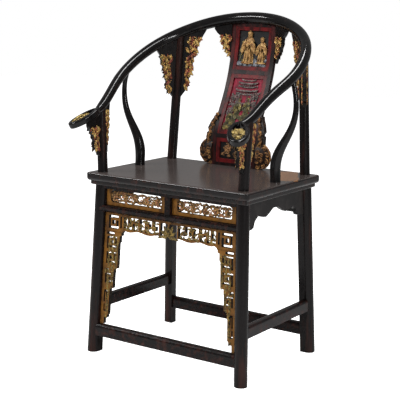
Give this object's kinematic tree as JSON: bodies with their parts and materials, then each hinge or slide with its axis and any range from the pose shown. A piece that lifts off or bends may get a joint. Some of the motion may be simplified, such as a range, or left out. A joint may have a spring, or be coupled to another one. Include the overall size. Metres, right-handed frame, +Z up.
{
  "type": "horseshoe back armchair",
  "caption": "Armchair with a horseshoe crest rail ending in open hand loops, S-curved carved splat, round splayed legs, pierced front apron and stretchers.",
  "frame": {"origin": "on the floor, under the middle of the chair's outline", "axes": "+Z up, -Y towards the front of the seat, +X towards the sitter's left when facing forward"},
  "size_m": [0.592, 0.5306, 0.9617],
  "materials": {
    "black_lacquer": "glossy black lacquer, worn to red-brown on edges",
    "seat_lacquer": "dark grey-brown lacquer, soft gloss",
    "red_lacquer": "dark red lacquer",
    "ochre_gilt": "ochre paint and worn gilding",
    "gilt": "gilded carving",
    "gilt_on_black": "gilded pierced carving in black lacquer",
    "plain_wood": "plain oiled wood"
  },
  "bodies": {
    "root": {"crest_rail_centre": "black_lacquer", "crest_rail_left_arm": "black_lacquer", "crest_rail_left_shoulder": "black_lacquer", "crest_rail_right_arm": "black_lacquer", "crest_rail_right_shoulder": "black_lacquer", "crest_rail_wedge_pins": "plain_wood", "front_apron_band": "ochre_gilt", "front_apron_left_leg": "ochre_gilt", "front_apron_right_leg": "ochre_gilt", "front_left_leg_post": "black_lacquer", "front_left_pierced_panel": "ochre_gilt", "front_left_post_back_spandrel": "gilt_on_black", "front_left_post_fore_spandrel": "gilt_on_black", "front_mid_rail": "black_lacquer", "front_right_leg_post": "black_lacquer", "front_right_pierced_panel": "ochre_gilt", "front_right_post_back_spandrel": "gilt_on_black", "front_right_post_fore_spandrel": "gilt_on_black", "front_stretcher": "black_lacquer", "front_strut": "black_lacquer", "front_top_rail": "black_lacquer", "left_hand_rest_flower": "gilt", "left_side_apron": "black_lacquer", "left_side_stile": "black_lacquer", "left_stretcher": "black_lacquer", "rear_apron": "black_lacquer", "rear_left_leg_post": "black_lacquer", "rear_left_post_inner_spandrel": "gilt_on_black", "rear_left_post_outer_spandrel": "gilt_on_black", "rear_right_leg_post": "black_lacquer", "rear_right_post_inner_spandrel": "gilt_on_black", "rear_right_post_outer_spandrel": "gilt_on_black", "rear_stretcher": "black_lacquer", "right_hand_rest_flower": "gilt", "right_side_apron": "black_lacquer", "right_side_stile": "black_lacquer", "right_stretcher": "black_lacquer", "seat_batten_left": "plain_wood", "seat_batten_right": "plain_wood", "seat_front_rail": "seat_lacquer", "seat_left_rail": "seat_lacquer", "seat_panel": "seat_lacquer", "seat_rear_rail": "seat_lacquer", "seat_right_rail": "seat_lacquer", "splat_bottom_rail": "black_lacquer", "splat_figure_panel": "black_lacquer", "splat_fruit_panel": "black_lacquer", "splat_left_gourd_carving": "gilt_on_black", "splat_left_spandrel": "gilt_on_black", "splat_left_stile": "black_lacquer", "splat_lower_moulding": "red_lacquer", "splat_lower_rail": "black_lacquer", "splat_middle_moulding": "red_lacquer", "splat_right_gourd_carving": "gilt_on_black", "splat_right_spandrel": "gilt_on_black", "splat_right_stile": "black_lacquer", "splat_scene_panel": "red_lacquer", "splat_top_rail": "black_lacquer", "splat_upper_moulding": "red_lacquer", "splat_upper_rail": "black_lacquer"}
  },
  "joints": []
}
